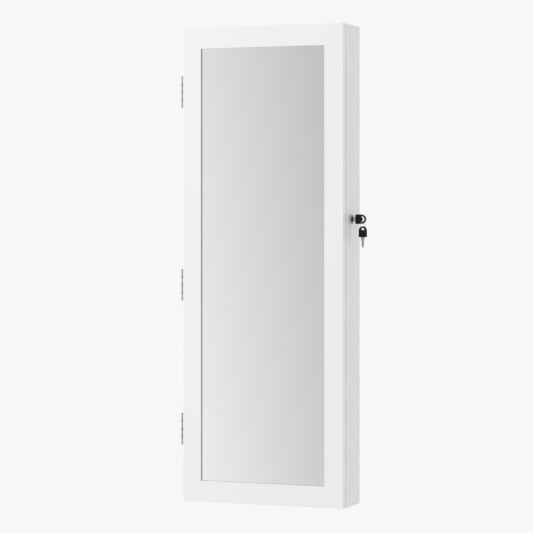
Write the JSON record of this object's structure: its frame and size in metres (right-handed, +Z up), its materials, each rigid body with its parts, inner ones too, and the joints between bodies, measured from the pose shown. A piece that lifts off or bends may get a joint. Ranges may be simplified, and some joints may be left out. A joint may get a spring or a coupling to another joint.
{
  "type": "wall jewelry cabinet with mirror door",
  "caption": "Shallow white wall cabinet for jewelry with a full-height framed mirror door on knuckle hinges, a side cam lock and a hanging spare key.",
  "frame": {"origin": "middle of the four wall-screw holes, on the cabinet's back face, so the wall is the plane Y = 0", "axes": "+Z up along the cabinet's height, +X to the right seen from the front, +Y into the wall; the mirror door faces -Y"},
  "size_m": [0.4309, 0.108, 1.06],
  "materials": {
    "white_lacquered_board": "white satin lacquer on fibreboard",
    "white_lacquered_frame": "white satin lacquer on fibreboard",
    "white_hardboard": "white faced hardboard",
    "hardboard": "plain brown hardboard",
    "velvet_lining": "short-pile velvet glued on board",
    "velvet_roll": "velvet over foam",
    "silvered_glass": "silvered float glass",
    "clear_acrylic": "clear cast acrylic",
    "anodised_aluminium": "satin anodised",
    "nickel_plated_steel": "bright nickel plating",
    "hinge_pin_steel": "bright drawn steel",
    "zinc_plated_steel": "bright zinc plating",
    "black_hook_plastic": "moulded, semi-gloss",
    "felt": "pressed felt",
    "white_catch_plastic": "moulded, matt",
    "ferrite": "sintered, matt",
    "nickel_plated_zinc": "bright nickel plating on die-cast zinc",
    "lock_plug_brass": "nickel plated, dulled",
    "black_bow_plastic": "moulded, fine texture",
    "nickel_plated_brass": "nickel plated",
    "ring_steel": "bright nickel plating"
  },
  "bodies": {
    "cabinet": {"left_side_panel": "white_lacquered_board", "right_side_panel": "white_lacquered_board", "top_panel": "white_lacquered_board", "bottom_panel": "white_lacquered_board", "back_panel": "white_hardboard", "upper_hanging_rail": "white_lacquered_board", "lower_hanging_rail": "white_lacquered_board", "back_lining": "velvet_lining", "necklace_hooks": "black_hook_plastic", "ring_board": "velvet_lining", "ring_rolls": "velvet_roll", "door_bumpers": "felt", "necklace_shelf": "velvet_lining", "ring_shelf": "velvet_lining", "upper_shelf": "velvet_lining", "lower_shelf": "velvet_lining", "upper_guard_strip": "clear_acrylic", "middle_guard_strip": "clear_acrylic", "lower_guard_strip": "clear_acrylic", "hinge_leaves_cabinet": "nickel_plated_steel", "hinge_pins": "hinge_pin_steel", "hinge_screws_cabinet": "zinc_plated_steel", "catch_case": "white_catch_plastic", "catch_magnet": "ferrite", "catch_poles": "zinc_plated_steel", "catch_screws": "zinc_plated_steel", "lock_housing": "nickel_plated_zinc", "lock_nut": "nickel_plated_zinc"},
    "door": {"left_door_stile": "white_lacquered_frame", "right_door_stile": "white_lacquered_frame", "top_door_rail": "white_lacquered_frame", "bottom_door_rail": "white_lacquered_frame", "mirror_glass": "silvered_glass", "mirror_backing": "hardboard", "door_lining": "velvet_lining", "upper_earring_bar": "anodised_aluminium", "middle_earring_bar": "anodised_aluminium", "lower_earring_bar": "anodised_aluminium", "earring_spacers": "nickel_plated_steel", "strike_plate": "nickel_plated_steel", "catch_plate": "nickel_plated_steel", "door_fitting_screws": "zinc_plated_steel", "hinge_leaves_door": "nickel_plated_steel", "hinge_screws_door": "zinc_plated_steel"},
    "lock_plug": {"lock_plug": "lock_plug_brass", "lock_cam": "zinc_plated_steel", "cam_screw": "zinc_plated_steel"},
    "key": {"key_bow": "black_bow_plastic", "key_blade": "nickel_plated_brass"},
    "ring": {"key_ring": "ring_steel"},
    "spare_key": {"spare_key_bow": "black_bow_plastic", "spare_key_blade": "nickel_plated_brass"}
  },
  "joints": [
    {"name": "door_swing", "type": "hinge", "parent": "cabinet", "child": "door", "pos_m": [-0.1989, -0.0918, 0], "axis": [0, 0, -1], "range_deg": [0, 170]},
    {"name": "key_turn", "type": "hinge", "parent": "cabinet", "child": "lock_plug", "pos_m": [0.1686, -0.056, 0.102], "axis": [-1, 0, 0], "range_deg": [0, 90]},
    {"name": "key_pull", "type": "slide", "parent": "lock_plug", "child": "key", "axis": [1, 0, 0], "range_m": [0, 0.018]},
    {"name": "ring_hang", "type": "hinge", "parent": "key", "child": "ring", "pos_m": [0.2182, -0.056, 0.0941], "axis": [-1, 0, 0], "range_deg": [-90, 0]},
    {"name": "spare_key_swing", "type": "hinge", "parent": "ring", "child": "spare_key", "pos_m": [0.2182, -0.056, 0.0823], "axis": [0.3907, 0.9205, 0], "range_deg": [-25, 25]}
  ],
  "couplings": [
    {"joint": "ring_hang", "follows": "key_turn", "ratio": -1}
  ]
}
